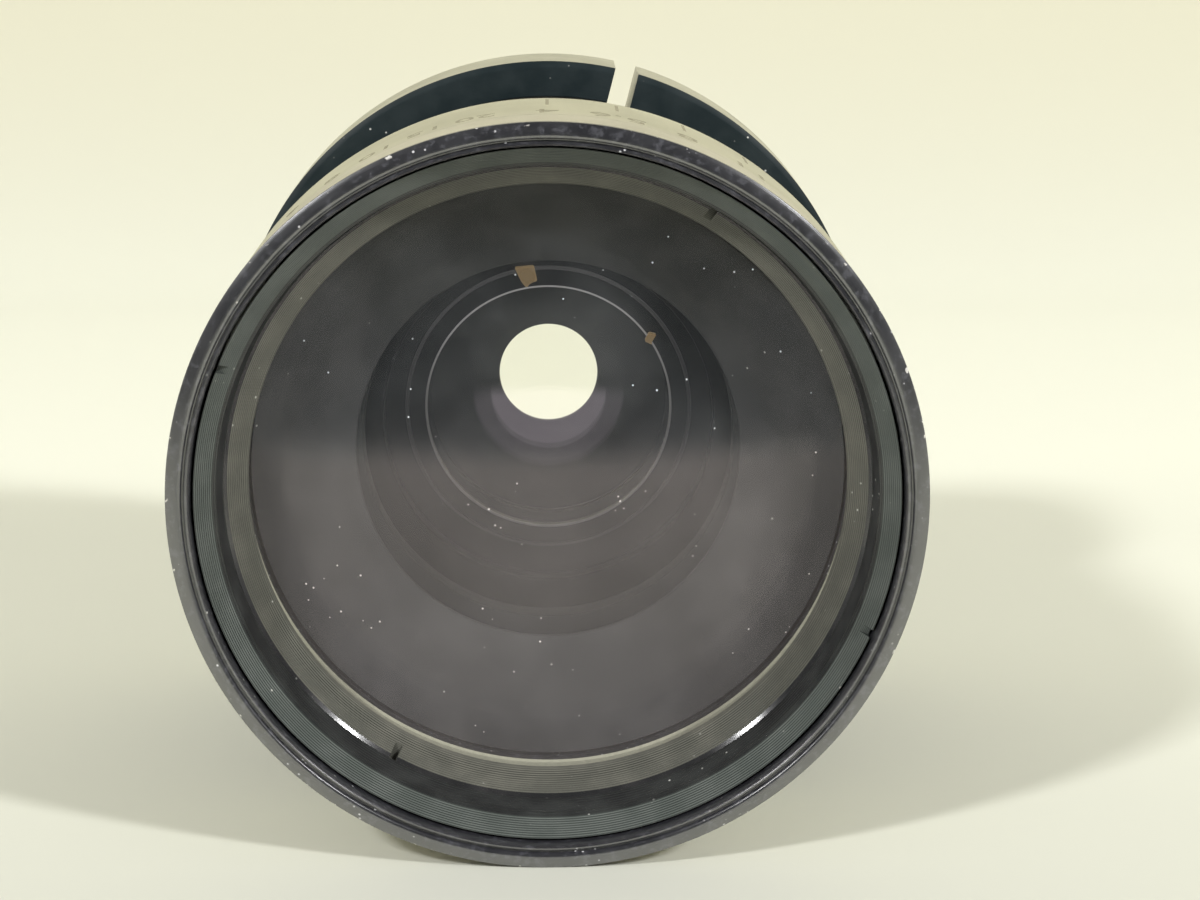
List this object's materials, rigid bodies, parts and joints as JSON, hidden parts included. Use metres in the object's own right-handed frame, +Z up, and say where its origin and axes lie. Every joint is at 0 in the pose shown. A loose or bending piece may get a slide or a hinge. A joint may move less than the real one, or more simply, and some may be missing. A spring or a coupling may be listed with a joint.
{
  "type": "enlarger lens",
  "caption": "Large black enlarging lens with a bright aperture ring, coupled iris blades, coated glass elements and a split mounting collar.",
  "frame": {"origin": "point of the optical axis in the mount collar's rear face, where a lens board seats", "axes": "+Y along the optical axis from front to rear, so the front of the lens faces -Y; +Z up with the lens on its side"},
  "size_m": [0.0808, 0.0947, 0.0808],
  "materials": {
    "black_anodised": "black anodised, semi-gloss, faintly violet where worn",
    "grooved_black": "black anodised over fine turned grooves, grey-green sheen",
    "engraved_silver": "satin silver anodised with a faint tan engraved scale",
    "collar_metal": "black front face, outside turned back to bare metal",
    "matt_black": "matt black optical paint",
    "steel": "plain turned steel",
    "amber_plastic": "clear amber light guide with pale edges",
    "coated_glass": "polished optical glass with a single purple-amber coating"
  },
  "bodies": {
    "barrel": {"front_barrel": "black_anodised", "outer_retaining_ring": "grooved_black", "inner_retaining_ring": "grooved_black", "front_element": "coated_glass", "main_barrel": "black_anodised", "rear_barrel": "black_anodised", "inner_cell": "matt_black", "second_element": "coated_glass", "cell_spacer": "matt_black", "third_element": "coated_glass", "inner_cell_ring": "black_anodised", "iris_base": "matt_black", "scale_light_guide_1": "amber_plastic", "scale_light_guide_2": "amber_plastic", "rear_cell": "matt_black", "fourth_element": "coated_glass", "exit_baffle": "matt_black", "rear_element": "coated_glass", "rear_retaining_ring": "black_anodised", "rear_cover_ring": "black_anodised", "mount_collar": "collar_metal", "barrel_end_ring": "black_anodised", "barrel_set_screw_1": "steel", "barrel_set_screw_2": "steel", "barrel_set_screw_3": "steel", "click_ball": "steel", "click_spring": "steel"},
    "aperture": {"aperture_ring": "engraved_silver", "drive_screw": "steel", "iris_drive_sleeve": "black_anodised"},
    "blade_1": {"iris_blade_1": "matt_black"},
    "blade_2": {"iris_blade_2": "matt_black"},
    "blade_3": {"iris_blade_3": "matt_black"},
    "blade_4": {"iris_blade_4": "matt_black"},
    "blade_5": {"iris_blade_5": "matt_black"},
    "blade_6": {"iris_blade_6": "matt_black"},
    "blade_7": {"iris_blade_7": "matt_black"},
    "blade_8": {"iris_blade_8": "matt_black"}
  },
  "joints": [
    {"name": "aperture_turn", "type": "hinge", "parent": "barrel", "child": "aperture", "pos_m": [0, -0.0731, 0], "axis": [0, -1, 0], "range_deg": [0, 33]},
    {"name": "blade_1_swing", "type": "hinge", "parent": "barrel", "child": "blade_1", "pos_m": [0.027, -0.0329, 0], "axis": [0, 1, 0], "range_deg": [0, 22.2]},
    {"name": "blade_2_swing", "type": "hinge", "parent": "barrel", "child": "blade_2", "pos_m": [0.01909, -0.0329, -0.01909], "axis": [0, 1, 0], "range_deg": [0, 22.2]},
    {"name": "blade_3_swing", "type": "hinge", "parent": "barrel", "child": "blade_3", "pos_m": [0, -0.0329, -0.027], "axis": [0, 1, 0], "range_deg": [0, 22.2]},
    {"name": "blade_4_swing", "type": "hinge", "parent": "barrel", "child": "blade_4", "pos_m": [-0.01909, -0.0329, -0.01909], "axis": [0, 1, 0], "range_deg": [0, 22.2]},
    {"name": "blade_5_swing", "type": "hinge", "parent": "barrel", "child": "blade_5", "pos_m": [-0.027, -0.0329, 0], "axis": [0, 1, 0], "range_deg": [0, 22.2]},
    {"name": "blade_6_swing", "type": "hinge", "parent": "barrel", "child": "blade_6", "pos_m": [-0.01909, -0.0329, 0.01909], "axis": [0, 1, 0], "range_deg": [0, 22.2]},
    {"name": "blade_7_swing", "type": "hinge", "parent": "barrel", "child": "blade_7", "pos_m": [0, -0.0329, 0.027], "axis": [0, 1, 0], "range_deg": [0, 22.2]},
    {"name": "blade_8_swing", "type": "hinge", "parent": "barrel", "child": "blade_8", "pos_m": [0.01909, -0.0329, 0.01909], "axis": [0, 1, 0], "range_deg": [0, 22.2]}
  ],
  "couplings": [
    {"joint": "blade_1_swing", "follows": "aperture_turn", "ratio": 0.66667},
    {"joint": "blade_2_swing", "follows": "aperture_turn", "ratio": 0.66667},
    {"joint": "blade_3_swing", "follows": "aperture_turn", "ratio": 0.66667},
    {"joint": "blade_4_swing", "follows": "aperture_turn", "ratio": 0.66667},
    {"joint": "blade_5_swing", "follows": "aperture_turn", "ratio": 0.66667},
    {"joint": "blade_6_swing", "follows": "aperture_turn", "ratio": 0.66667},
    {"joint": "blade_7_swing", "follows": "aperture_turn", "ratio": 0.66667},
    {"joint": "blade_8_swing", "follows": "aperture_turn", "ratio": 0.66667}
  ]
}
